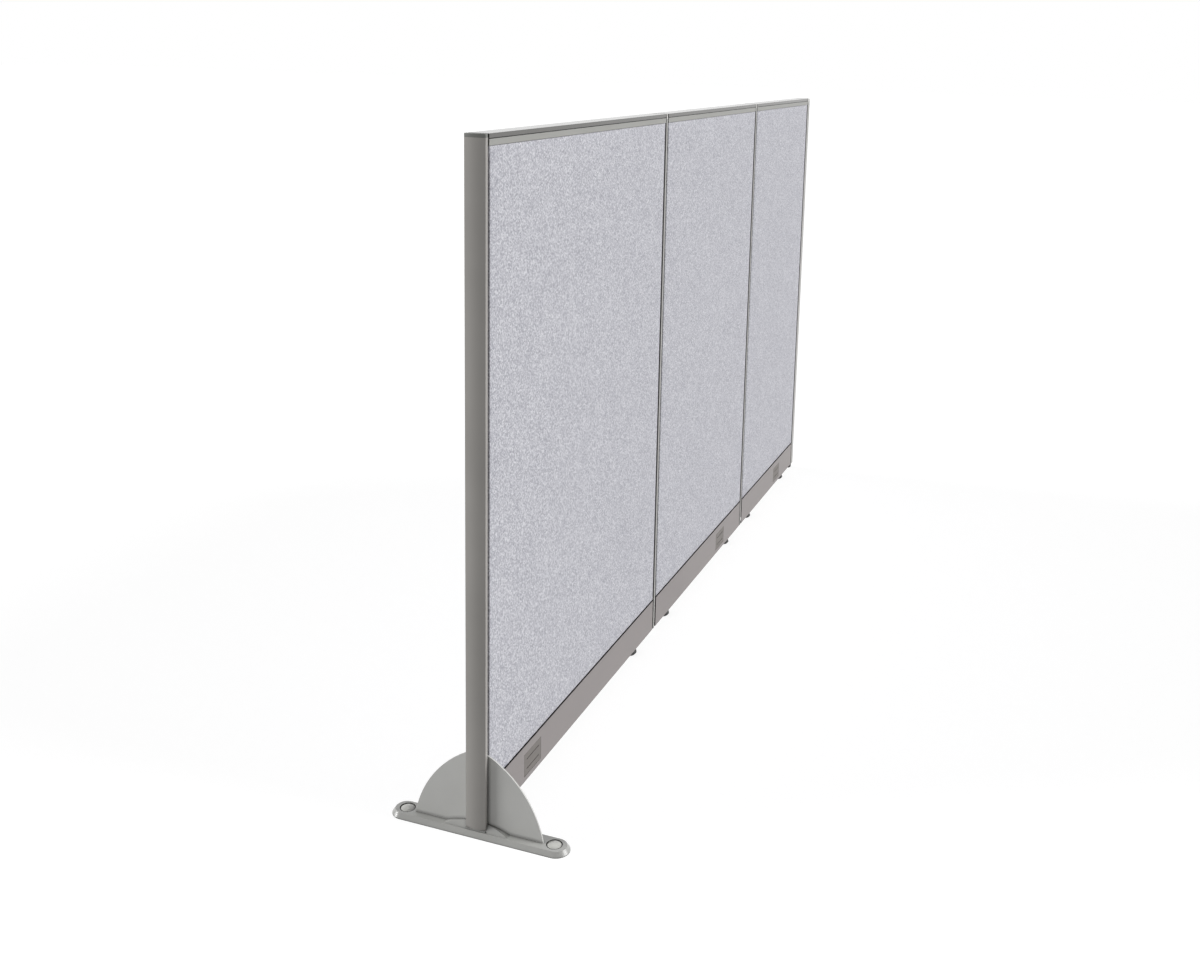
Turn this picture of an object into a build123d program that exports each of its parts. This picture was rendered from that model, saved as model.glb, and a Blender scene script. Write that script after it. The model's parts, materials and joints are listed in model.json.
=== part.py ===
from build123d import *
import os

# A straight run of three fabric-faced office panels, in millimetres, +Z up.
# The run lies along X: the footed near end is at -X, the end that meets a wall is at +X.
# The photographed face looks towards -Y. The origin is on the floor, under the middle of the run.

# Sizes of the whole run
run_height = 1524
panel_depth = 48
near_panel_width = 1067
middle_panel_width = 914
far_panel_width = 762

# Clearances
slide_gap = 0.3
running_gap = 0.05
cut_overrun = 2

# Uprights between and beside the panels
strip_width = 10
joint_gap = 5.6
upright_wall = 1.6
upright_edge_radius = 1.5
end_trim_width = 10
end_trim_crown = 3.5
end_trim_corner_radius = 1.2
wall_channel_width = 30
wall_channel_corner_radius = 12
cap_height = 14
end_cap_height = 8
cap_edge_radius = 1
cap_plug_depth = 12

# T-shaped rib of an upright, which hangs in the slot of a panel stile
rib_neck = 4
rib_head = 10
rib_head_thickness = 3

# Panel frame
frame_depth = 30
stile_width = 25
frame_wall = 2
screw_port_radius = 3.6
top_rail_height = 38
top_rail_lip_height = 13
lip_wall = 1.6
bottom_rail_height = 30
core_thickness = 12

# Fabric pads
pad_inset = 3.4
pad_edge_radius = 2.2
reveal_height = 4

# Trim along the top
top_trim_face = 9
top_trim_groove = 2
top_trim_neck_inset = 4
top_trim_edge_radius = 2
top_trim_leg = 1.5
top_trim_leg_length = 13

# Raceway behind the kick covers
kick_bottom = 20
kick_height = 90
cover_wall = 1.6
cover_end_gap = 3.4
cover_rail_gap = 0.4
cover_edge_radius = 1.2
hook_drop = 10.5
hook_reach = 16
cable_window_width = 16
cable_window_height = 44

# Outlet blanks
blank_width = 90
blank_height = 56
blank_centre_rise = 41.5
blank_face = 2.2
blank_depth = 6
blank_wall = 1.6
blank_edge_chamfer = 0.8
blank_groove_length = 64
blank_groove_height = 3
blank_groove_depth = 1
blank_groove_spacing = 24
near_blank_inset = 223
far_blank_inset = 245

# Legs, threaded inserts and levelling glides
leg_inset = 130
leg_size = 30
leg_rise = 2
leg_foot_plate = 4
insert_radius = 7
insert_length = 26
insert_flange_radius = 10
insert_flange = 1.5
glide_stem_radius = 5
glide_stem_length = 44
glide_base_radius = 18
glide_pad_radius = 22
glide_pad_edge_height = 5
glide_pad_height = 16
glide_neck_radius = 7.5

# Foot under the near end
foot_length = 430
foot_width = 62
foot_centre_offset = 18
foot_thickness = 12
foot_lip_height = 2
foot_side_run = 7
foot_edge_radius = 2.5
foot_platform = 3
foot_plate_end_gap = 6
foot_plate_height = 186
foot_plate_side_radius = 250
foot_plate_tip_radius = 70
foot_plate_thickness = 3.5
arch_half_width = 77
arch_height = 15
mound_gap = 0.5
mound_front_run = 12
plug_end_inset = 35
plug_radius = 15.5
plug_recess_radius = 18
plug_recess = 4
plug_edge = 3
plug_dome = 4.5
anchor_hole_radius = 4.5

# Screws
screw_radius = 2
screw_head_radius = 3.8
screw_head_height = 2.2
frame_screw_length = 22
plate_screw_length = 11
plate_screw_low = 45
plate_screw_high = 105

# Wall end
wall_hole_radius = 3.5
wall_hole_low = 300
wall_hole_spacing = 900
access_hole_radius = 8
wall_foot_side_inset = 1
wall_foot_end_inset = 3
wall_foot_dome = 8

# Levels worked out from the sizes above
kick_top = kick_bottom + kick_height
pad_bottom = kick_top + reveal_height
trim_bottom = run_height - top_trim_face
lip_top = trim_bottom - top_trim_groove
lip_bottom = lip_top - top_rail_lip_height
top_rail_bottom = lip_top - top_rail_height
bottom_rail_bottom = kick_top + slide_gap
bottom_rail_top = bottom_rail_bottom + bottom_rail_height
upright_top = run_height - cap_height
end_trim_top = run_height - end_cap_height
leg_bottom = kick_bottom + leg_rise
blank_level = kick_bottom + blank_centre_rise
hook_level = kick_top - hook_drop
foot_plate_top = foot_thickness + foot_plate_height
plug_y = foot_length / 2 - plug_end_inset
foot_plate_half_width = plug_y - plug_recess_radius - foot_plate_end_gap

# Half depths measured from the mid plane of the run
face_y = panel_depth / 2
frame_y = frame_depth / 2

# Joint centres along the run, counted from the near end trim's corner
joint_0 = end_trim_width - strip_width / 2
joint_1 = joint_0 + near_panel_width
joint_2 = joint_1 + middle_panel_width
joint_3 = joint_2 + far_panel_width
wall_channel_x = joint_3 - strip_width / 2
run_end = wall_channel_x + wall_channel_width
foot_start = foot_centre_offset - foot_width / 2
run_middle = (foot_start + run_end) / 2
plate_x = end_trim_width + joint_gap - foot_plate_thickness

# Slot in a stile that takes a T rib
slot_mouth = rib_neck + 2 * slide_gap
slot_width = rib_head + 2 * slide_gap
slot_depth = rib_head_thickness + 2 * slide_gap
slot_housing = frame_wall + slot_depth + frame_wall
slot_housing_width = slot_width + 2 * frame_wall
port_x = slot_housing + screw_port_radius - frame_wall
plate_screw_y = (slot_housing_width / 2 + frame_y - frame_wall) / 2


def block(x0, x1, y0, y1, z0, z1):
    """A box between two corners."""
    middle = Pos((x0 + x1) / 2, (y0 + y1) / 2, (z0 + z1) / 2)
    return middle * Box(x1 - x0, y1 - y0, z1 - z0)


def rod(radius, x, y, z0, z1):
    """An upright cylinder."""
    return Pos(x, y, (z0 + z1) / 2) * Cylinder(radius, z1 - z0)


def rod_along_x(radius, x0, x1, y, z):
    """A cylinder that lies along the run."""
    return Pos((x0 + x1) / 2, y, z) * Rot(0, 90, 0) * Cylinder(radius, x1 - x0)


def back_of(front):
    """The same piece on the other face of the run."""
    return mirror(front, about=Plane.XZ)


def save(name, shape):
    """Writes one sub-part, with the origin moved under the middle of the run."""
    export_step(Pos(-run_middle, 0, 0) * shape, f"parts/{name}.step")


def save_group(name, solids):
    """Writes several solids as one sub-part."""
    save(name, Compound(children=list(solids)))


# Panel frame

def parted(upright):
    """An upright as two pieces that meet above the raceway: the long one over the short one."""
    level = Plane.XY.offset(bottom_rail_bottom)
    return [split(upright, bisect_by=level, keep=side) for side in (Keep.TOP, Keep.BOTTOM)]


def stile(x0, way, cable_window, screw_holes):
    """An upright frame tube. Its slotted face is at x0 and the tube runs from there along way, +1 or -1."""
    wall = frame_wall
    inner_y = frame_y - wall
    tube = block(0, stile_width, -frame_y, frame_y, kick_bottom, top_rail_bottom)
    hollow = block(wall, stile_width - wall, -inner_y, inner_y, kick_bottom, top_rail_bottom)
    housing_y = slot_housing_width / 2
    hollow -= block(0, slot_housing, -housing_y, housing_y, kick_bottom, top_rail_bottom)
    hollow -= rod(screw_port_radius, port_x, 0, kick_bottom, top_rail_bottom)
    tube -= hollow
    tube -= block(0, wall, -slot_mouth / 2, slot_mouth / 2, kick_bottom, top_rail_bottom)
    slot_back = wall + slot_depth
    tube -= block(wall, slot_back, -slot_width / 2, slot_width / 2, kick_bottom, top_rail_bottom)
    tube -= rod(screw_radius + running_gap, port_x, 0, kick_bottom, top_rail_bottom)
    if cable_window:
        tube -= window_cutter(0, stile_width)
    if screw_holes:
        for y, z in plate_screw_places():
            tube -= rod_along_x(screw_radius + running_gap, -cut_overrun, slot_housing, y, z)
    if way < 0:
        tube = mirror(tube, about=Plane.YZ)
    return Pos(x0, 0, 0) * tube


def window_cutter(x0, x1):
    """The opening through which cables pass from one panel's raceway to the next."""
    half_width = cable_window_width / 2
    half_height = cable_window_height / 2
    low = blank_level - half_height
    high = blank_level + half_height
    return block(x0 - cut_overrun, x1 + cut_overrun, -half_width, half_width, low, high)


def top_rail(x0, x1):
    """A channel over the stiles, with a lip each side that covers the pads' top edges."""
    inner_y = frame_y - frame_wall
    rail = block(x0, x1, -frame_y, frame_y, top_rail_bottom, lip_top)
    rail += block(x0, x1, -face_y, face_y, lip_bottom, lip_top)
    lip_inner = face_y - lip_wall
    for side in (-1, 1):
        y_low, y_high = sorted((side * frame_y, side * lip_inner))
        rail -= block(x0, x1, y_low, y_high, lip_bottom, lip_top - lip_wall)
    rail -= block(x0, x1, -inner_y, inner_y, top_rail_bottom + frame_wall, lip_top)
    for x in (x0 + port_x, x1 - port_x):
        radius = screw_radius + running_gap
        rail -= rod(radius, x, 0, top_rail_bottom - cut_overrun, top_rail_bottom + frame_wall + cut_overrun)
    return rail


def bottom_rail(x0, x1):
    """A closed tube between the stiles, above the raceway."""
    inner_y = frame_y - frame_wall
    rail = block(x0, x1, -frame_y, frame_y, bottom_rail_bottom, bottom_rail_top)
    low = bottom_rail_bottom + frame_wall
    high = bottom_rail_top - frame_wall
    return rail - block(x0, x1, -inner_y, inner_y, low, high)


def leg(x):
    """A short box leg under the bottom rail, notched for the covers' hooks, with a bore for its insert."""
    half = leg_size / 2
    inner = half - frame_wall
    post = block(x - half, x + half, -frame_y, frame_y, leg_bottom, bottom_rail_bottom)
    post -= block(x - inner, x + inner, -inner, inner, leg_bottom + leg_foot_plate, bottom_rail_bottom)
    notch_low = hook_level - cover_wall - slide_gap
    notch_high = hook_level + slide_gap
    for side in (-1, 1):
        y_low, y_high = sorted((side * frame_y, side * (face_y - hook_reach - slide_gap)))
        post -= block(x - half, x + half, y_low, y_high, notch_low, notch_high)
    radius = insert_radius + running_gap
    return post - rod(radius, x, 0, leg_bottom - cut_overrun, leg_bottom + leg_foot_plate + cut_overrun)


def insert(x):
    """A flanged threaded bush in a leg's foot plate, for a glide's stem."""
    bush = rod(insert_radius, x, 0, leg_bottom, leg_bottom + insert_length)
    bush += rod(insert_flange_radius, x, 0, leg_bottom - insert_flange, leg_bottom)
    bore = rod(glide_stem_radius + running_gap, x, 0, leg_bottom - insert_flange, leg_bottom + insert_length)
    return bush - bore


def glide(x):
    """A domed levelling foot on a stem that screws into the leg's insert."""
    shoulder = leg_bottom - insert_flange - slide_gap
    edge = (glide_pad_radius, glide_pad_edge_height)
    top = (0, glide_pad_height)
    profile = Polyline(top, (0, 0), (glide_base_radius, 0), edge)
    profile += TangentArc(edge, top, tangent=(0, 1))
    pad = revolve(Plane.XZ * make_face(profile), Axis.Z)
    neck = rod(glide_neck_radius, 0, 0, glide_pad_edge_height, shoulder)
    stem = rod(glide_stem_radius, 0, 0, glide_pad_edge_height, shoulder + glide_stem_length)
    return Pos(x, 0, 0) * (pad + neck + stem)


def core_board(x0, x1):
    """The stiff sheet that fills the frame between the two pads."""
    half = core_thickness / 2
    return block(x0, x1, -half, half, bottom_rail_top, top_rail_bottom)


def front_pad(x0, x1):
    """A fabric-wrapped pad on the photographed face, under the rail's lip."""
    pad = block(x0 + pad_inset, x1 - pad_inset, -face_y, -frame_y, pad_bottom, lip_bottom - slide_gap)
    front_edges = pad.faces().sort_by(Axis.Y)[0].edges()
    return fillet(front_edges, pad_edge_radius)


def front_cover(x0, x1, blank_x):
    """A kick cover on the photographed face: its sheet, its lower rail and its hook rail."""
    low_x = x0 + cover_end_gap
    high_x = x1 - cover_end_gap
    outer = -face_y
    inner = outer + cover_wall
    sheet = block(low_x, high_x, outer, inner, kick_bottom, kick_top)
    long_edges = sheet.edges().filter_by(Axis.X).group_by(Axis.Y)[0]
    sheet = fillet(long_edges, cover_edge_radius)
    half_width = blank_width / 2 + slide_gap
    half_height = blank_height / 2 + slide_gap
    low = blank_level - half_height
    high = blank_level + half_height
    sheet -= block(
        blank_x - half_width, blank_x + half_width, outer - cut_overrun, inner + cut_overrun, low, high
    )
    rail_end = -frame_y - cover_rail_gap
    lower_rail = block(low_x, high_x, inner, rail_end, kick_bottom, kick_bottom + cover_wall)
    hook_low_x = x0 + stile_width + joint_gap
    hook_high_x = x1 - stile_width - joint_gap
    hook_end = outer + hook_reach
    hook_rail = block(hook_low_x, hook_high_x, inner, hook_end, hook_level - cover_wall, hook_level)
    return [sheet, lower_rail, hook_rail]


def front_blank(x):
    """A plate that closes the outlet opening of the photographed face's cover."""
    outer = -face_y
    half_width = blank_width / 2
    half_height = blank_height / 2
    low = blank_level - half_height
    high = blank_level + half_height
    plate = block(x - half_width, x + half_width, outer, outer + blank_depth, low, high)
    plate -= block(
        x - half_width + blank_wall,
        x + half_width - blank_wall,
        outer + blank_face,
        outer + blank_depth,
        low + blank_wall,
        high - blank_wall,
    )
    rim = plate.faces().sort_by(Axis.Y)[0].edges()
    plate = chamfer(rim, blank_edge_chamfer)
    for side in (-1, 1):
        level = blank_level + side * blank_groove_spacing / 2
        plate -= block(
            x - blank_groove_length / 2,
            x + blank_groove_length / 2,
            outer - cut_overrun,
            outer + blank_groove_depth,
            level - blank_groove_height / 2,
            level + blank_groove_height / 2,
        )
    return plate


def top_trim(x0, x1):
    """The cap extrusion on the top rail, with a narrower neck and two legs in the rail's channel."""
    trim = block(x0, x1, -face_y, face_y, trim_bottom, run_height)
    top_edges = trim.edges().filter_by(Axis.X).group_by(Axis.Z)[-1]
    trim = fillet(top_edges, top_trim_edge_radius)
    inner_y = face_y - upright_wall
    trim -= block(x0, x1, -inner_y, inner_y, trim_bottom + upright_wall, run_height - upright_wall)
    neck_y = face_y - top_trim_neck_inset
    trim += block(x0, x1, -neck_y, neck_y, lip_top, trim_bottom)
    leg_outer = frame_y - frame_wall - slide_gap
    for side in (-1, 1):
        y_low, y_high = sorted((side * leg_outer, side * (leg_outer - top_trim_leg)))
        trim += block(x0, x1, y_low, y_high, lip_top - top_trim_leg_length, lip_top)
    return trim


def frame_screw(x):
    """A pan head screw through the top rail's floor into a stile's screw port."""
    floor = top_rail_bottom + frame_wall
    shank = rod(screw_radius, x, 0, floor - frame_screw_length, floor)
    return shank + rod(screw_head_radius, x, 0, floor, floor + screw_head_height)


# Uprights

def rib(x, way, z0, z1):
    """A T-shaped rib that leaves an upright's face at x, along way, and ends in the stile's slot."""
    neck_end = joint_gap + frame_wall + slide_gap
    head_end = neck_end + rib_head_thickness
    neck = block(0, neck_end, -rib_neck / 2, rib_neck / 2, z0, z1)
    head = block(neck_end, head_end, -rib_head / 2, rib_head / 2, z0, z1)
    tee = neck + head
    if way < 0:
        tee = mirror(tee, about=Plane.YZ)
    return Pos(x, 0, 0) * tee


def crowned_outline(grow):
    """The end trim's section: straight sides, a flat back and a crowned outer face."""
    half = face_y + grow
    back = end_trim_width + grow
    outline = Polyline((0, -half), (back, -half), (back, half), (0, half))
    outline += ThreePointArc((0, half), (-end_trim_crown - grow, 0), (0, -half))
    return make_face(outline)


def crowned_prism(grow, z0, z1):
    """The end trim's section drawn between two levels, with its outer corners rounded."""
    section = crowned_outline(grow)
    radius = end_trim_corner_radius + grow if grow < 0 else end_trim_corner_radius
    if radius > 0:
        section = fillet(section.vertices(), radius)
    return extrude(Pos(0, 0, z0) * section, z1 - z0)


def end_trim():
    """The crowned hollow trim that closes the near end."""
    floor = foot_thickness + foot_platform
    trim = crowned_prism(0, floor, end_trim_top) - crowned_prism(-upright_wall, floor, end_trim_top)
    return trim + rib(end_trim_width, 1, foot_plate_top + joint_gap, top_rail_bottom)


def end_trim_cap():
    """The moulded cap on the end trim, with a plug inside it."""
    cap = crowned_prism(0, end_trim_top, run_height)
    cap = fillet(cap.faces().sort_by(Axis.Z)[-1].edges(), cap_edge_radius)
    plug_inset = -upright_wall - slide_gap
    return cap + crowned_prism(plug_inset, end_trim_top - cap_plug_depth, end_trim_top)


def upright_tube(x0, x1):
    """A hollow rectangular upright with small corner radii, from the covers' lower edge to the caps."""
    tube = block(x0, x1, -face_y, face_y, kick_bottom, upright_top)
    tube = fillet(tube.edges().filter_by(Axis.Z), upright_edge_radius)
    wall = upright_wall
    return tube - block(x0 + wall, x1 - wall, wall - face_y, face_y - wall, kick_bottom, upright_top)


def connector_strip(centre):
    """The upright between two panels, with a rib each side and an opening for cables."""
    x0 = centre - strip_width / 2
    x1 = centre + strip_width / 2
    strip = upright_tube(x0, x1)
    strip += rib(x0, -1, kick_bottom, top_rail_bottom)
    strip += rib(x1, 1, kick_bottom, top_rail_bottom)
    return strip - window_cutter(x0 - stile_width, x1 + stile_width)


def upright_cap(x0, x1):
    """The moulded cap of a rectangular upright, with a plug inside it."""
    cap = block(x0, x1, -face_y, face_y, upright_top, run_height)
    cap = fillet(cap.edges().filter_by(Axis.Z), upright_edge_radius)
    cap = fillet(cap.faces().sort_by(Axis.Z)[-1].edges(), cap_edge_radius)
    return cap + upright_plug(x0, x1, upright_top - cap_plug_depth, upright_top)


def upright_plug(x0, x1, z0, z1):
    """A block that fits inside a rectangular upright."""
    inset = upright_wall + slide_gap
    return block(x0 + inset, x1 - inset, inset - face_y, face_y - inset, z0, z1)


def wall_hole_levels():
    """Heights of the two holes that fix the wall channel."""
    return (wall_hole_low, wall_hole_low + wall_hole_spacing)


def wall_channel():
    """The upright that is screwed to the wall, with a rib towards the last panel."""
    channel = upright_tube(wall_channel_x, run_end)
    channel += rib(wall_channel_x, -1, kick_bottom, top_rail_bottom)
    centre = (wall_channel_x + run_end) / 2
    for z in wall_hole_levels():
        channel -= rod_along_x(access_hole_radius, wall_channel_x - stile_width, centre, 0, z)
        channel -= rod_along_x(wall_hole_radius, centre, run_end + cut_overrun, 0, z)
    return channel


def wall_channel_cap():
    """The cap on the wall channel, rounded towards the wall."""
    cap = block(wall_channel_x, run_end, -face_y, face_y, upright_top, run_height)
    far_top = cap.edges().filter_by(Axis.Y).group_by(Axis.Z)[-1].sort_by(Axis.X)[-1]
    cap = fillet(far_top, wall_channel_corner_radius)
    return cap + upright_plug(wall_channel_x, run_end, upright_top - cap_plug_depth, upright_top)


def wall_channel_foot():
    """The long rubber foot that stands under the wall channel, with a plug inside it."""
    centre = (wall_channel_x + run_end) / 2
    length = panel_depth - 2 * wall_foot_end_inset
    width = wall_channel_width - 2 * wall_foot_side_inset
    foot = Pos(centre, 0, 0) * extrude(Rot(0, 0, 90) * SlotOverall(length, width), kick_bottom)
    foot = fillet(foot.faces().sort_by(Axis.Z)[0].edges(), wall_foot_dome)
    return foot + upright_plug(wall_channel_x, run_end, kick_bottom, kick_bottom + cap_plug_depth)


# Foot

def plate_screw_places():
    """Sideways and upward places of the four screws that hold the foot plate to the near stile."""
    return [(side * plate_screw_y, z) for side in (-1, 1) for z in (plate_screw_low, plate_screw_high)]


def arch_prism(half_width, height, x0, x1):
    """A low arch that stands on the foot's upper face and runs from x0 to x1."""
    base = foot_thickness
    outline = ThreePointArc((-half_width, base), (0, base + height), (half_width, base))
    outline += Line((half_width, base), (-half_width, base))
    return extrude(Plane.YZ.offset(x0) * make_face(outline), x1 - x0)


def foot_base():
    """The long foot with sloping sides, a mound inside the plate's arch and a seat for the end trim."""
    outline = Rot(0, 0, 90) * SlotOverall(foot_length, foot_width)
    upper_length = foot_length - 2 * foot_side_run
    upper_width = foot_width - 2 * foot_side_run
    upper_outline = Rot(0, 0, 90) * SlotOverall(upper_length, upper_width)
    slab = extrude(outline, foot_lip_height)
    slab += loft([Pos(0, 0, foot_lip_height) * outline, Pos(0, 0, foot_thickness) * upper_outline])
    slab = fillet(slab.faces().sort_by(Axis.Z)[-1].edges(), foot_edge_radius)
    slab = Pos(foot_centre_offset, 0, 0) * slab
    mound_back = plate_x + foot_plate_thickness - slide_gap
    mound_front = end_trim_width - mound_front_run
    mound = arch_prism(arch_half_width - mound_gap, arch_height - mound_gap, mound_front, mound_back)
    mound_top = foot_thickness + arch_height
    slope = Polyline(
        (mound_front, foot_thickness),
        (end_trim_width, mound_top),
        (mound_back, mound_top),
        (mound_back, foot_thickness),
        close=True,
    )
    wedge = extrude(Plane.XZ * make_face(slope), arch_half_width, both=True)
    mound &= wedge
    seat_top = foot_thickness + foot_platform
    seat_y = face_y + slide_gap
    seat_front = foot_start + foot_side_run + foot_edge_radius
    mound += block(seat_front, mound_back, -seat_y, seat_y, foot_thickness, seat_top)
    seat_back = end_trim_width + slide_gap
    mound -= block(foot_start, seat_back, -seat_y, seat_y, seat_top, mound_top + cut_overrun)
    base = slab + mound
    for side in (-1, 1):
        y = side * plug_y
        recess_floor = foot_thickness - plug_recess
        base -= rod(plug_recess_radius, foot_centre_offset, y, recess_floor, foot_thickness + cut_overrun)
        base -= rod(anchor_hole_radius, foot_centre_offset, y, -cut_overrun, foot_thickness)
    return base


def foot_plate_outline():
    """The plate seen from the end of the run: two wide arcs that meet in a rounded tip."""
    left = (-foot_plate_half_width, foot_thickness)
    tip = (0, foot_plate_top)
    right = (foot_plate_half_width, foot_thickness)
    outline = RadiusArc(left, tip, foot_plate_side_radius)
    outline += RadiusArc(tip, right, foot_plate_side_radius)
    outline += Line(right, left)
    face = make_face(outline)
    return fillet(face.vertices().sort_by(Axis.Y)[-1], foot_plate_tip_radius)


def foot_plate():
    """The plate that stands across the run and is screwed to the near stile."""
    plate_back = plate_x + foot_plate_thickness
    plate = extrude(Plane.YZ.offset(plate_x) * foot_plate_outline(), foot_plate_thickness)
    plate -= arch_prism(arch_half_width, arch_height, plate_x, plate_back)
    for y, z in plate_screw_places():
        plate -= countersunk_screw(y, z, running_gap)
    return plate


def countersunk_screw(y, z, grow):
    """A flat head screw whose head lies flush with the foot plate's outer face."""
    shank_end = plate_x + plate_screw_length + grow
    shank = rod_along_x(screw_radius + grow, plate_x, shank_end, y, z)
    head = Cone(screw_head_radius + grow, screw_radius + grow, screw_head_height)
    return shank + Pos(plate_x + screw_head_height / 2, y, z) * Rot(0, 90, 0) * head


def foot_plug(side):
    """A domed plug over one of the foot's floor holes."""
    floor = foot_thickness - plug_recess
    edge = floor + plug_edge
    profile = Polyline((0, edge + plug_dome), (0, floor), (plug_radius, floor), (plug_radius, edge))
    profile += ThreePointArc((plug_radius, edge), dome_point(edge), (0, edge + plug_dome))
    dome = revolve(Plane.XZ * make_face(profile), Axis.Z)
    return Pos(foot_centre_offset, side * plug_y, 0) * dome


def dome_point(edge):
    """A point half way out on the plug's dome, on the circle through its edge and its top."""
    sphere = (plug_radius * plug_radius + plug_dome * plug_dome) / (2 * plug_dome)
    half_out = plug_radius / 2
    drop = sphere - (sphere * sphere - half_out * half_out) ** 0.5
    return (half_out, edge + plug_dome - drop)


def write_panel(name, start_joint, end_joint, blank_from_start, window_at_start, window_at_end):
    """Writes the sub-parts of one panel and returns where its legs stand."""
    x0 = start_joint + strip_width / 2 + joint_gap
    x1 = end_joint - strip_width / 2 - joint_gap
    blank_x = x0 + near_blank_inset if blank_from_start else x1 - far_blank_inset
    save_group(f"{name}_near_stile", parted(stile(x0, 1, window_at_start, start_joint == joint_0)))
    save_group(f"{name}_far_stile", parted(stile(x1, -1, window_at_end, False)))
    save(f"{name}_top_rail", top_rail(x0, x1))
    save(f"{name}_bottom_rail", bottom_rail(x0 + stile_width, x1 - stile_width))
    save(f"{name}_core_board", core_board(x0 + stile_width, x1 - stile_width))
    save(f"{name}_top_trim", top_trim(x0, x1))
    leg_places = (x0 + leg_inset, x1 - leg_inset)
    save_group(f"{name}_legs", [leg(x) for x in leg_places])
    pad = [front_pad(x0, x1)]
    cover = front_cover(x0, x1, blank_x)
    blank = [front_blank(blank_x)]
    for part_name, front in (("pad", pad), ("kick_cover", cover), ("outlet_blank", blank)):
        save_group(f"{name}_front_{part_name}", front)
        save_group(f"{name}_back_{part_name}", [back_of(piece) for piece in front])
    for end, x in zip(("near", "far"), leg_places):
        save(f"{name}_{end}_glide", glide(x))
    return leg_places, (x0 + port_x, x1 - port_x)


os.makedirs("parts", exist_ok=True)

legs = []
ports = []
for panel in (
    ("near_panel", joint_0, joint_1, True, False, True),
    ("middle_panel", joint_1, joint_2, False, True, True),
    ("far_panel", joint_2, joint_3, False, True, False),
):
    leg_places, port_places = write_panel(*panel)
    legs += leg_places
    ports += port_places

save_group("glide_inserts", [insert(x) for x in legs])
save_group("frame_screws", [frame_screw(x) for x in ports])

for name, centre in (("first", joint_1), ("second", joint_2)):
    save_group(f"{name}_connector_strip", parted(connector_strip(centre)))
    save(f"{name}_connector_cap", upright_cap(centre - strip_width / 2, centre + strip_width / 2))

save("end_trim", end_trim())
save("end_trim_cap", end_trim_cap())
save("wall_channel", wall_channel())
save("wall_channel_cap", wall_channel_cap())
save("wall_channel_foot", wall_channel_foot())
save("foot_base", foot_base())
save("foot_plate", foot_plate())
save_group("foot_plugs", [foot_plug(side) for side in (-1, 1)])
save_group("foot_plate_screws", [countersunk_screw(y, z, 0) for y, z in plate_screw_places()])
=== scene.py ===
import json
import math

import bmesh
import bpy
from mathutils import Matrix, Vector


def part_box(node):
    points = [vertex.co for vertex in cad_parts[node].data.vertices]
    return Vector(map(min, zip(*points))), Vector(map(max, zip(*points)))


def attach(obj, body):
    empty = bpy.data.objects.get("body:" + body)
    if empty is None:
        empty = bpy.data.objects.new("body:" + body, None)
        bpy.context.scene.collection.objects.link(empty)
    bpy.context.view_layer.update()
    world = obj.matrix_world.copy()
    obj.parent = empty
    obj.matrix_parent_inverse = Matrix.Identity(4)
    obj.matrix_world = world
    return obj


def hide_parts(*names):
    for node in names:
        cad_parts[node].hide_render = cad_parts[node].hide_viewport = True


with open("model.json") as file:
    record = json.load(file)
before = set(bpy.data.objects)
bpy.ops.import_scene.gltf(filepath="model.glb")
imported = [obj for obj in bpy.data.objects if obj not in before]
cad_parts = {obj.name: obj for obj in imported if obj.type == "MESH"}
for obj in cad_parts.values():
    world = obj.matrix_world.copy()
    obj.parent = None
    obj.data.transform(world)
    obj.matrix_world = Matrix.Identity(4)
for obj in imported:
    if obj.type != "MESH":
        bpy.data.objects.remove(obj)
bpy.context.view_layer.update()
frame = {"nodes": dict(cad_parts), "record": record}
mm = 0.001
panelNames = ("near_panel", "middle_panel", "far_panel")
sideNames = ("front", "back")
bpy.context.scene.view_settings.view_transform = "Standard"
print("frame loaded:", len(frame["nodes"]), "nodes")


# small helpers

def hexColour(code):
    # an sRGB hex colour as the linear colour that the shaders read
    channels = [int(code[i:i + 2], 16) / 255 for i in (1, 3, 5)]
    return tuple(c / 12.92 if c <= 0.04045 else ((c + 0.055) / 1.055) ** 2.4 for c in channels) + (1.0,)


def addNode(tree, kind, values=None, links=None, **settings):
    node = tree.nodes.new(kind)
    for name, value in settings.items():
        setattr(node, name, value)
    for name, value in (values or {}).items():
        node.inputs[name].default_value = value
    for name, socket in (links or {}).items():
        tree.links.new(socket, node.inputs[name])
    return node


def newMaterial(name):
    material = bpy.data.materials.new(name)
    material.use_nodes = True
    tree = material.node_tree
    tree.nodes.clear()
    return material, tree


def setRamp(node, stops):
    # stops are (place, hex colour)
    ramp = node.color_ramp
    while len(ramp.elements) < len(stops):
        ramp.elements.new(0.5)
    for element, (place, code) in zip(ramp.elements, stops):
        element.position = place
        element.color = hexColour(code)


def dress(thing, material):
    thing.data.materials.clear()
    thing.data.materials.append(material)
    for face in thing.data.polygons:
        face.material_index = 0


def makePiece(name, bm):
    mesh = bpy.data.meshes.new(name)
    bm.to_mesh(mesh)
    bm.free()
    piece = bpy.data.objects.new(name, mesh)
    bpy.context.scene.collection.objects.link(piece)
    return piece


# camera, at the photograph's own standpoint

cameraSetup = {
    "place": (-3.6211, -1.1824, 1.6886),  # metres, a standing eye beside the run's near end
    "yaw": 19.94,  # degrees from +X towards +Y
    "pitch": -10.99,
    "roll": 1.43,
    "sensor": 36,  # millimetres
    "lens": 38.24,  # millimetres
    "shift": (-0.04, -0.15),  # of the picture's width; the second keeps the uprights nearly upright
}


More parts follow.
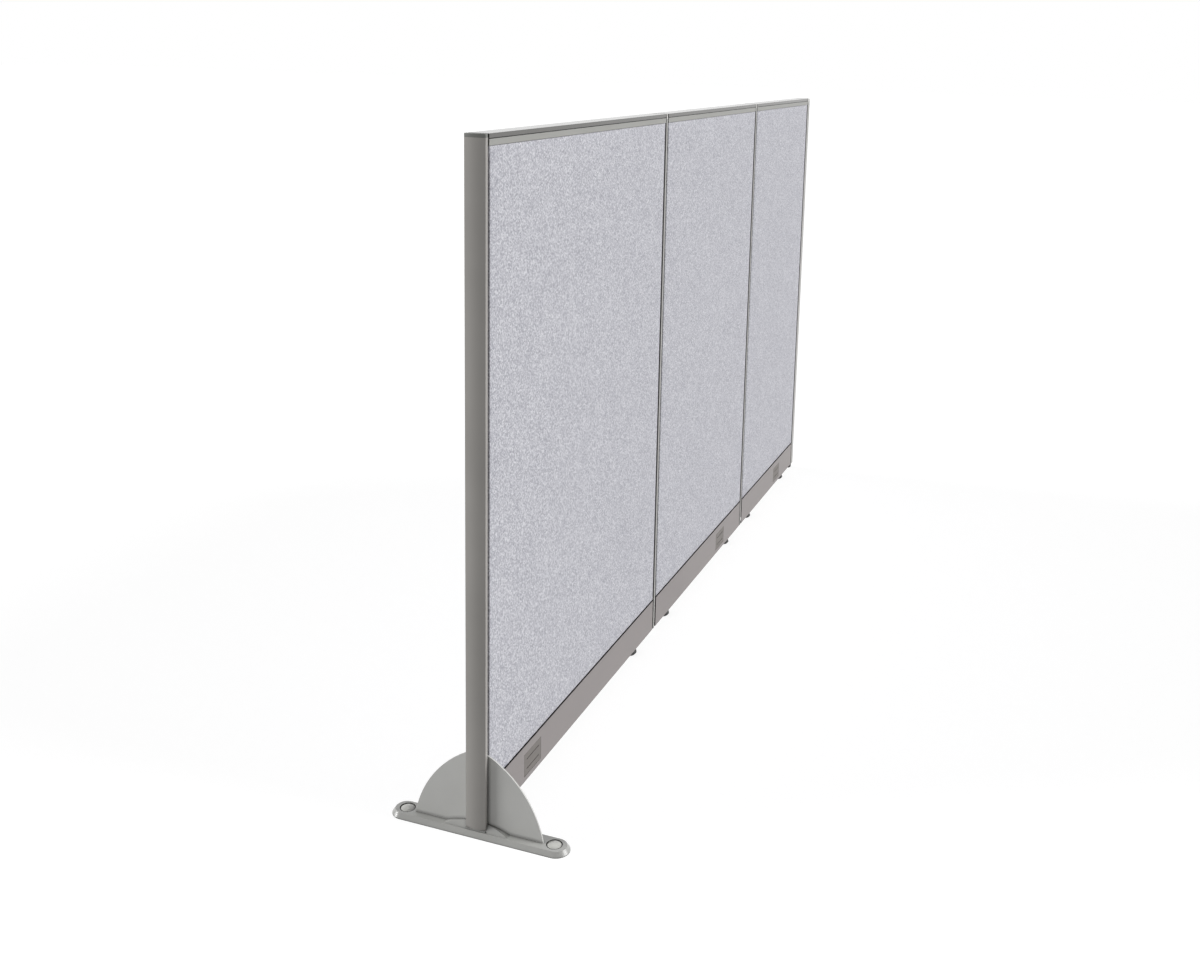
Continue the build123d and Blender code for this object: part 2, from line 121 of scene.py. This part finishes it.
def makeCamera(setup):
    data = bpy.data.cameras.new("camera")
    data.sensor_width = setup["sensor"]
    data.lens = setup["lens"]
    data.shift_x, data.shift_y = setup["shift"]
    yaw, pitch, roll = (math.radians(setup[key]) for key in ("yaw", "pitch", "roll"))
    forward = Vector((math.cos(pitch) * math.cos(yaw), math.cos(pitch) * math.sin(yaw), math.sin(pitch)))
    right = forward.cross(Vector((0, 0, 1))).normalized()
    up = right.cross(forward)
    rolledRight = right * math.cos(roll) + up * math.sin(roll)
    rolledUp = up * math.cos(roll) - right * math.sin(roll)
    turn = Matrix((rolledRight, rolledUp, -forward)).transposed()
    camera = bpy.data.objects.new("camera", data)
    camera.matrix_world = Matrix.Translation(setup["place"]) @ turn.to_4x4()
    bpy.context.scene.collection.objects.link(camera)
    bpy.context.scene.camera = camera


makeCamera(cameraSetup)
print("camera placed")


# materials, each from its real finish

clothLook = {
    "thread": 1.6 * mm,  # the real thread is 0.6 mm, which is too fine to show, so it is drawn coarser
    "waver": 0.6,  # how crooked the threads run
    "fleck": 2.0 * mm,
    "fleckSquash": 0.6,  # below 1 makes the flecks and slubs longer up the cloth than across it
    "fleckShare": 0.45,  # how much a fleck's own shade counts beside the slubs
    "slub": 2.4 * mm,
    "slubBreakUp": 0.7,
    "mottle": 45 * mm,  # size of the faint cloudy areas
    "mottleShare": 0.1,
    "shades": ((0.6, "#A2A2AB"), (0.78, "#BEBEC5"), (0.96, "#DADADF")),  # place on the ramp, colour
    "grainRelief": 1.2,  # how much the grain adds to the threads' height
    "relief": 0.5,
    "reliefDepth": 0.4 * mm,
    "rough": 0.92,
    "gloss": 0.25,
    "sheen": 0.15,
    "sheenRough": 0.5,
}
waveTurn = math.pi / 20  # a wave texture of scale 1 repeats every pi / 10 metres, which is two threads here


def makeHeatherCloth(look):
    # plain woven polyester panel cloth, with pale and dark slubs that give it a salt-and-pepper face
    material, tree = newMaterial("heather polyester cloth, plain weave")
    place = addNode(tree, "ShaderNodeTexCoord").outputs["Object"]
    upright = addNode(
        tree, "ShaderNodeMapping", {"Scale": (1.0, 1.0, look["fleckSquash"])}, {"Vector": place}
    )
    flecks = addNode(
        tree,
        "ShaderNodeTexVoronoi",
        {"Scale": 1 / look["fleck"], "Randomness": 1.0},
        {"Vector": upright.outputs[0]},
    )
    chance = addNode(tree, "ShaderNodeSeparateColor", None, {"Color": flecks.outputs["Color"]})
    slubs = addNode(
        tree,
        "ShaderNodeTexNoise",
        {"Scale": 1 / look["slub"], "Detail": 3.0, "Roughness": look["slubBreakUp"]},
        {"Vector": upright.outputs[0]},
    )
    mottle = addNode(
        tree, "ShaderNodeTexNoise", {"Scale": 1 / look["mottle"], "Detail": 2.0}, {"Vector": place}
    )
    grain = addNode(
        tree,
        "ShaderNodeMath",
        {1: look["fleckShare"]},
        {0: chance.outputs[0], 2: slubs.outputs[0]},
        operation="MULTIPLY_ADD",
    )
    cloudy = addNode(
        tree,
        "ShaderNodeMath",
        {1: look["mottleShare"]},
        {0: mottle.outputs[0], 2: grain.outputs[0]},
        operation="MULTIPLY_ADD",
    )
    ramp = addNode(tree, "ShaderNodeValToRGB", None, {"Fac": cloudy.outputs[0]})
    setRamp(ramp, look["shades"])
    bands = [
        addNode(
            tree,
            "ShaderNodeTexWave",
            {"Scale": waveTurn / look["thread"], "Distortion": look["waver"], "Detail": 1.0},
            {"Vector": place},
            bands_direction=way,
        )
        for way in ("X", "Z")
    ]
    weave = addNode(
        tree, "ShaderNodeMath", None, {0: bands[0].outputs[1], 1: bands[1].outputs[1]}, operation="MAXIMUM"
    )
    height = addNode(
        tree,
        "ShaderNodeMath",
        {1: look["grainRelief"]},
        {0: grain.outputs[0], 2: weave.outputs[0]},
        operation="MULTIPLY_ADD",
    )
    bump = addNode(
        tree,
        "ShaderNodeBump",
        {"Strength": look["relief"], "Distance": look["reliefDepth"]},
        {"Height": height.outputs[0]},
    )
    shader = addNode(
        tree,
        "ShaderNodeBsdfPrincipled",
        {
            "Roughness": look["rough"],
            "Specular IOR Level": look["gloss"],
            "Sheen Weight": look["sheen"],
            "Sheen Roughness": look["sheenRough"],
        },
        {"Base Color": ramp.outputs[0], "Normal": bump.outputs[0]},
    )
    addNode(tree, "ShaderNodeOutputMaterial", None, {"Surface": shader.outputs[0]})
    return material


paintedShadeReach = 9 * mm  # how far the painted shade darkens a finish beside a joint
gapShadeReach = 26 * mm  # how far the painted shade reaches on the pieces beside the dark gaps between the panels
paintedShadeSamples = 6
peelDepth = 0.1 * mm  # height of the orange peel or mould grain at relief 1
cloudLow, cloudHigh = 0.3, 0.7  # the part of the noise that goes from one shade or gloss to the other


def makePaint(name, look):
    # a finish on metal or plastic, with fine orange peel, faint clouds, duller patches and painted shade in
    # creases
    material, tree = newMaterial(name)
    place = addNode(tree, "ShaderNodeTexCoord").outputs["Object"]
    cloud = addNode(
        tree, "ShaderNodeTexNoise", {"Scale": 1 / look["cloud"], "Detail": 3.0}, {"Vector": place}
    )
    ramp = addNode(tree, "ShaderNodeValToRGB", None, {"Fac": cloud.outputs[0]})
    setRamp(ramp, ((cloudLow, look["dark"]), (cloudHigh, look["light"])))
    peel = addNode(
        tree, "ShaderNodeTexNoise", {"Scale": 1 / look["peel"], "Detail": 2.0}, {"Vector": place}
    )
    dull = addNode(
        tree,
        "ShaderNodeMapRange",
        {
            "From Min": cloudLow,
            "From Max": cloudHigh,
            "To Min": look["rough"][0],
            "To Max": look["rough"][1],
        },
        {"Value": cloud.outputs[0]},
    )
    bump = addNode(
        tree,
        "ShaderNodeBump",
        {"Strength": look["relief"], "Distance": peelDepth},
        {"Height": peel.outputs[0]},
    )
    reach = look.get("paintedShade", paintedShadeReach)
    # painted shade: ambient occlusion darkens the colour in creases and beside joints, where shadow falls
    paintedShade = addNode(
        tree,
        "ShaderNodeAmbientOcclusion",
        {"Distance": reach},
        {"Color": ramp.outputs[0]},
        samples=paintedShadeSamples,
    )
    shader = addNode(
        tree,
        "ShaderNodeBsdfPrincipled",
        {"Metallic": look["metal"]},
        {"Base Color": paintedShade.outputs[0], "Roughness": dull.outputs[0], "Normal": bump.outputs[0]},
    )
    addNode(tree, "ShaderNodeOutputMaterial", None, {"Surface": shader.outputs[0]})
    return material


finishes = {
    # extruded aluminium in a silver grey lacquer: satin and warm, darker where it turns from the light
    "upright": (
        "silver grey lacquer on extruded aluminium",
        {
            "dark": "#9B9894", "light": "#A3A09C", "cloud": 180 * mm, "peel": 1.5 * mm,
            "rough": (0.34, 0.42), "relief": 0.12, "metal": 0.0,
        },
    ),
    # the same on the wall channel and on the strips between panels: a shade paler, with painted shade
    # beside the gaps
    "strip": (
        "silver grey lacquer on the narrow uprights",
        {
            "dark": "#A09F9C", "light": "#A8A7A4", "cloud": 180 * mm, "peel": 1.5 * mm,
            "rough": (0.36, 0.44), "relief": 0.12, "metal": 0.0, "paintedShade": gapShadeReach,
        },
    ),
    # the trim along the top is bright aluminium: its upper face goes nearly white at a low angle
    "top_trim": (
        "bright anodised aluminium trim",
        {
            "dark": "#676664", "light": "#6F6E6C", "cloud": 220 * mm, "peel": 1.5 * mm,
            "rough": (0.1, 0.15), "relief": 0.02, "metal": 0.85,
        },
    ),
    # the lip under the trim is lacquered: satin and pale, without the trim's shine
    "top_rail": (
        "pale grey lacquer on the rail's lip",
        {
            "dark": "#93938F", "light": "#9A9A96", "cloud": 200 * mm, "peel": 1.5 * mm,
            "rough": (0.4, 0.48), "relief": 0.12, "metal": 0.0,
        },
    ),
    # baked enamel on folded steel: an even warm grey with a soft gloss, and painted shade beside the gaps
    "kick_paint": (
        "warm grey baked enamel on steel",
        {
            "dark": "#847E7D", "light": "#8B8584", "cloud": 160 * mm, "peel": 1.5 * mm,
            "rough": (0.42, 0.5), "relief": 0.2, "metal": 0.0, "paintedShade": gapShadeReach,
        },
    ),
    # powder coat on cast and plate steel: pale grey with a fine grain, glossier on the foot
    "foot_base": (
        "pale grey powder coat on the cast foot",
        {
            "dark": "#A6A6A3", "light": "#AEAEAB", "cloud": 90 * mm, "peel": 1.2 * mm,
            "rough": (0.2, 0.28), "relief": 0.15, "metal": 0.0,
        },
    ),
    "foot_plate": (
        "pale grey powder coat on the upright plate",
        {
            "dark": "#CBCBC8", "light": "#D1D1CE", "cloud": 90 * mm, "peel": 1.2 * mm,
            "rough": (0.42, 0.52), "relief": 0.25, "metal": 0.0,
        },
    ),
    # black primer on the frame tubes, near black so that it also paints the shade in the gaps: with the
    # covers on, it shows only as dark lines round the panels
    "frame_paint": (
        "black primer on steel tube, also painted gap shade",
        {
            "dark": "#1B1B1B", "light": "#232323", "cloud": 60 * mm, "peel": 1.2 * mm,
            "rough": (0.5, 0.65), "relief": 0.3, "metal": 0.0,
        },
    ),
    # ABS mouldings, in taupe, light and dark grey: a spark-eroded grain and a soft gloss
    "blank_plastic": (
        "taupe grey moulded ABS",
        {
            "dark": "#6B6662", "light": "#716C68", "cloud": 50 * mm, "peel": 0.9 * mm,
            "rough": (0.5, 0.58), "relief": 0.4, "metal": 0.0,
        },
    ),
    # the light caps also get painted shade beside the gaps
    "light_cap_plastic": (
        "light grey moulded ABS",
        {
            "dark": "#C5C4C1", "light": "#CCCBC8", "cloud": 50 * mm, "peel": 0.9 * mm,
            "rough": (0.45, 0.55), "relief": 0.35, "metal": 0.0, "paintedShade": gapShadeReach,
        },
    ),
    "dark_cap_plastic": (
        "dark grey moulded ABS",
        {
            "dark": "#6C6D69", "light": "#747571", "cloud": 50 * mm, "peel": 0.9 * mm,
            "rough": (0.4, 0.5), "relief": 0.35, "metal": 0.0,
        },
    ),
    # nylon glides: near black, with the dull gloss of a mould
    "glide_plastic": (
        "black moulded nylon",
        {
            "dark": "#080808", "light": "#0D0D0D", "cloud": 20 * mm, "peel": 0.8 * mm,
            "rough": (0.5, 0.62), "relief": 0.3, "metal": 0.0,
        },
    ),
    # rubber under the wall channel: black, with hardly any shine
    "foot_rubber": (
        "black moulded rubber",
        {
            "dark": "#121212", "light": "#1A1A1A", "cloud": 20 * mm, "peel": 0.8 * mm,
            "rough": (0.6, 0.75), "relief": 0.4, "metal": 0.0,
        },
    ),
    # polypropylene plugs: pale and glossier than the foot round them
    "plug_plastic": (
        "pale grey polypropylene",
        {
            "dark": "#BDBDB8", "light": "#C6C6C1", "cloud": 20 * mm, "peel": 2 * mm,
            "rough": (0.16, 0.24), "relief": 0.05, "metal": 0.0,
        },
    ),
    # bright zinc on turned steel: a cool grey metal with a slight bloom
    "zinc_steel": (
        "zinc plated steel",
        {
            "dark": "#B0B2B4", "light": "#C4C6C8", "cloud": 4 * mm, "peel": 0.6 * mm,
            "rough": (0.25, 0.4), "relief": 0.1, "metal": 1.0,
        },
    ),
    # raw hardboard, with its brown flecked fibre
    "fibreboard": (
        "raw pressed fibreboard",
        {
            "dark": "#6B4F34", "light": "#8F7150", "cloud": 6 * mm, "peel": 1.0 * mm,
            "rough": (0.8, 0.95), "relief": 0.5, "metal": 0.0,
        },
    ),
}

materials = {slot: makePaint(name, look) for slot, (name, look) in finishes.items()}
materials["panel_fabric"] = makeHeatherCloth(clothLook)
nodeFinishes = {
    "end_trim": "upright",
    "wall_channel": "strip",
    "first_connector_strip": "strip",
    "second_connector_strip": "strip",
    "foot_base": "foot_base",
    "foot_plate": "foot_plate",
}
for panelName in panelNames:
    nodeFinishes[f"{panelName}_top_trim"] = "top_trim"
    nodeFinishes[f"{panelName}_top_rail"] = "top_rail"

for entry in frame["record"]["subparts"]:
    finish = nodeFinishes.get(entry["node"], entry["material_slot"])
    dress(frame["nodes"][entry["node"]], materials[finish])
print("materials made:", len(materials))


# stage: a pale floor and a white room

stageLook = {
    "floorSize": 120.0,  # metres
    "floor": "#989898",  # dark enough to throw little light back at the run
    "floorLift": 0.78,  # what the camera sees on top of the lit floor, so that it reads as white
    "floorGrain": 25 * mm,
    "floorRelief": 0.02,
    "roomLight": 0.27,  # how strongly the white room lights the run
}


def seenDirectly(tree):
    # 1 for what the camera or a reflection sees, 0 for light that falls on something
    rays = addNode(tree, "ShaderNodeLightPath")
    return addNode(
        tree,
        "ShaderNodeMath",
        None,
        {0: rays.outputs["Is Camera Ray"], 1: rays.outputs["Is Glossy Ray"]},
        operation="MAXIMUM",
    )


def makeStage(look):
    material, tree = newMaterial("pale studio floor")
    place = addNode(tree, "ShaderNodeTexCoord").outputs["Object"]
    grain = addNode(
        tree, "ShaderNodeTexNoise", {"Scale": 1 / look["floorGrain"], "Detail": 2.0}, {"Vector": place}
    )
    bump = addNode(
        tree,
        "ShaderNodeBump",
        {"Strength": look["floorRelief"], "Distance": mm},
        {"Height": grain.outputs[0]},
    )
    lit = addNode(
        tree, "ShaderNodeBsdfDiffuse", {"Color": hexColour(look["floor"])}, {"Normal": bump.outputs[0]}
    )
    seen = seenDirectly(tree)
    lift = addNode(
        tree, "ShaderNodeMath", {1: look["floorLift"]}, {0: seen.outputs[0]}, operation="MULTIPLY"
    )
    glow = addNode(tree, "ShaderNodeEmission", None, {"Strength": lift.outputs[0]})
    both = addNode(tree, "ShaderNodeAddShader", None, {0: lit.outputs[0], 1: glow.outputs[0]})
    addNode(tree, "ShaderNodeOutputMaterial", None, {"Surface": both.outputs[0]})
    bm = bmesh.new()
    bmesh.ops.create_grid(bm, x_segments=2, y_segments=2, size=look["floorSize"] / 2)
    floor = makePiece("floor", bm)
    dress(floor, material)

    world = bpy.data.worlds.new("white room")
    bpy.context.scene.world = world
    world.use_nodes = True
    tree = world.node_tree
    tree.nodes.clear()
    seen = seenDirectly(tree)
    strength = addNode(
        tree,
        "ShaderNodeMapRange",
        {"To Min": look["roomLight"], "To Max": 1.0},
        {"Value": seen.outputs[0]},
    )
    room = addNode(
        tree, "ShaderNodeBackground", {"Color": (1.0, 1.0, 1.0, 1.0)}, {"Strength": strength.outputs[0]}
    )
    addNode(tree, "ShaderNodeOutputWorld", None, {"Surface": room.outputs[0]})


lampSetups = {
    # name: where it shines from, strength and softness in degrees
    "frontLamp": ((0.32, -1.0, 0.5), 2.7, 35),
    "backLamp": ((-0.33, 1.0, 0.5), 2.6, 30),
}


def makeLamp(name, source, strength, softness):
    data = bpy.data.lights.new(name, "SUN")
    data.energy = strength
    data.angle = math.radians(softness)
    lamp = bpy.data.objects.new(name, data)
    lamp.rotation_mode = "QUATERNION"
    lamp.rotation_quaternion = Vector(source).to_track_quat("Z", "Y")
    bpy.context.scene.collection.objects.link(lamp)


makeStage(stageLook)
for lampName, lampSetup in lampSetups.items():
    makeLamp(lampName, *lampSetup)
print("stage and lamps made")


# fabric pads

padShape = {
    "cell": 22 * mm,  # spacing of the cloth's grid
    "edge": 2.4 * mm,  # radius of the wrapped edge
    "edgeSteps": 3,
    "pressure": 4.0,  # of the foam behind the cloth
    "stiffness": 25,  # of the cloth, along its threads
    "frames": 14,
    "mostSwell": 0.8 * mm,  # no point of the cloth moves further than this
}
straight = 0.999  # an edge counts as lying along an axis when this much of its length does


def boxEdges(bm, axis):
    return [
        edge
        for edge in bm.edges
        if abs((edge.verts[0].co - edge.verts[1].co).normalized()[axis]) > straight
    ]


def makePad(name, node, way):
    # way is -1 for the photographed face and 1 for the other one
    low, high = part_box(node)
    size = high - low
    middle = (low + high) / 2
    bm = bmesh.new()
    bmesh.ops.create_cube(bm, size=1.0)
    bmesh.ops.scale(bm, vec=size, verts=bm.verts)
    bmesh.ops.translate(bm, vec=middle, verts=bm.verts)
    outer = [edge for edge in bm.edges if all(way * (v.co.y - middle.y) > 0 for v in edge.verts)]
    bmesh.ops.bevel(
        bm,
        geom=outer,
        offset=padShape["edge"],
        segments=padShape["edgeSteps"],
        profile=0.5,
        affect="EDGES",
        material=-1,
    )
    for axis in (0, 2):  # along the panel, then up it
        cuts = round(size[axis] / padShape["cell"]) - 1
        bmesh.ops.subdivide_edges(bm, edges=boxEdges(bm, axis), cuts=cuts, use_grid_fill=True)
    bmesh.ops.recalc_face_normals(bm, faces=bm.faces)
    pad = makePiece(name, bm)
    swellPad(pad, way)
    for face in pad.data.polygons:
        face.use_smooth = True
    dress(pad, materials["panel_fabric"])
    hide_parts(node)
    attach(pad, "run")
    return pad


def swellPad(pad, way):
    # the cloth is held where it wraps round the board's back, and the foam behind it pushes it out
    rest = [v.co.copy() for v in pad.data.vertices]
    backY = min(way * v.y for v in rest)
    held = pad.vertex_groups.new(name="held")
    held.add([i for i, v in enumerate(rest) if way * v.y < backY + mm], 1.0, "REPLACE")
    cloth = pad.modifiers.new("cloth", "CLOTH")
    cloth.settings.vertex_group_mass = "held"
    cloth.settings.use_pressure = True
    cloth.settings.uniform_pressure_force = padShape["pressure"]
    cloth.settings.tension_stiffness = padShape["stiffness"]
    cloth.settings.compression_stiffness = padShape["stiffness"]
    cloth.settings.effector_weights.gravity = 0
    cloth.point_cache.frame_start = 1
    cloth.point_cache.frame_end = padShape["frames"]
    scene = bpy.context.scene
    for step in range(1, padShape["frames"] + 1):
        scene.frame_set(step)
    shaped = pad.evaluated_get(bpy.context.evaluated_depsgraph_get()).data
    moved = [v.co.copy() for v in shaped.vertices]
    pad.modifiers.remove(cloth)
    scene.frame_set(1)
    most = padShape["mostSwell"]
    for vertex, before, after in zip(pad.data.vertices, rest, moved):
        step = after - before
        if step.length > 0:
            vertex.co = before + step.normalized() * most * (1 - math.exp(-step.length / most))


for panelName in panelNames:
    for sideName, way in zip(sideNames, (-1, 1)):
        node = f"{panelName}_{sideName}_pad"
        makePad(f"{node}_cloth", node, way)
    print("pads made:", panelName)
